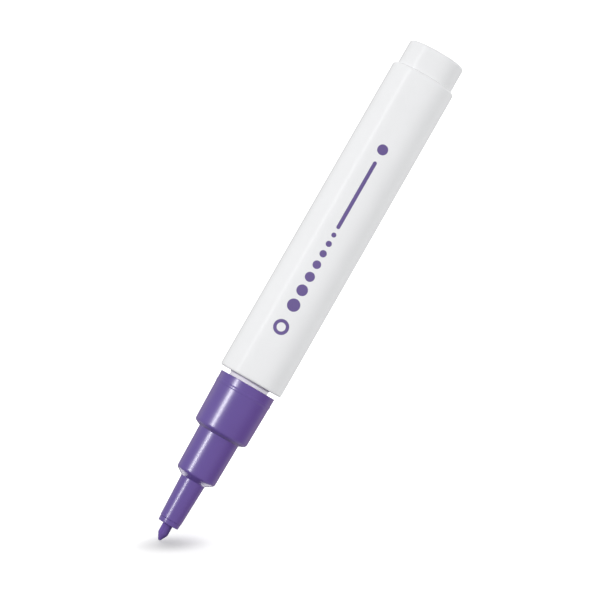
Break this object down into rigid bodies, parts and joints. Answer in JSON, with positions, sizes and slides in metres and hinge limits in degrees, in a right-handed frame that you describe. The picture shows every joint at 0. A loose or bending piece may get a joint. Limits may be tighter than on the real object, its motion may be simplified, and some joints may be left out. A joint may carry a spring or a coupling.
{
  "type": "paint marker",
  "caption": "Pump-valve paint marker: white barrel, coloured stepped front section and a fine bullet nib that pushes in against a spring to open the valve.",
  "frame": {"origin": "middle of the flat tail face that the marker stands on", "axes": "+Z along the marker's axis, from the tail to the nib; the X and Y directions are alike, and -Y is the side that the picture shows"},
  "size_m": [0.0152, 0.0152, 0.123],
  "materials": {
    "white_plastic": "moulded white polypropylene, soft gloss",
    "white_plug_plastic": "moulded white polypropylene, soft gloss",
    "purple_plastic": "moulded purple polypropylene, glossy",
    "nib_fibre": "pressed fibre soaked with purple paint, matte",
    "buffer_fibre": "felted fibre sleeve, matte",
    "valve_plastic": "natural moulded plastic",
    "stem_plastic": "natural moulded plastic",
    "gasket_rubber": "black moulded rubber",
    "spring_steel": "drawn stainless wire",
    "ball_steel": "polished steel ball"
  },
  "bodies": {
    "barrel": {"barrel": "white_plastic", "tail_plug": "white_plug_plastic", "front_section": "purple_plastic", "ink_buffer": "buffer_fibre", "valve_body": "valve_plastic", "valve_gasket": "gasket_rubber", "spring_cage": "valve_plastic", "valve_spring": "spring_steel"},
    "nib": {"nib": "nib_fibre"},
    "valve_stem": {"valve_stem": "stem_plastic"},
    "mixing_ball": {"mixing_ball": "ball_steel"}
  },
  "joints": [
    {"name": "nib_push", "type": "slide", "parent": "barrel", "child": "nib", "axis": [0, 0, -1], "range_m": [0, 0.002], "stiffness_N_per_m": 500, "springref_m": -0.002},
    {"name": "stem_push", "type": "slide", "parent": "barrel", "child": "valve_stem", "axis": [0, 0, -1], "range_m": [0, 0.002], "deforming": ["valve_spring"]},
    {"name": "ball_run", "type": "slide", "parent": "barrel", "child": "mixing_ball", "axis": [0, 0, 1], "range_m": [0, 0.06922]}
  ],
  "couplings": [
    {"joint": "stem_push", "follows": "nib_push", "ratio": 1}
  ]
}
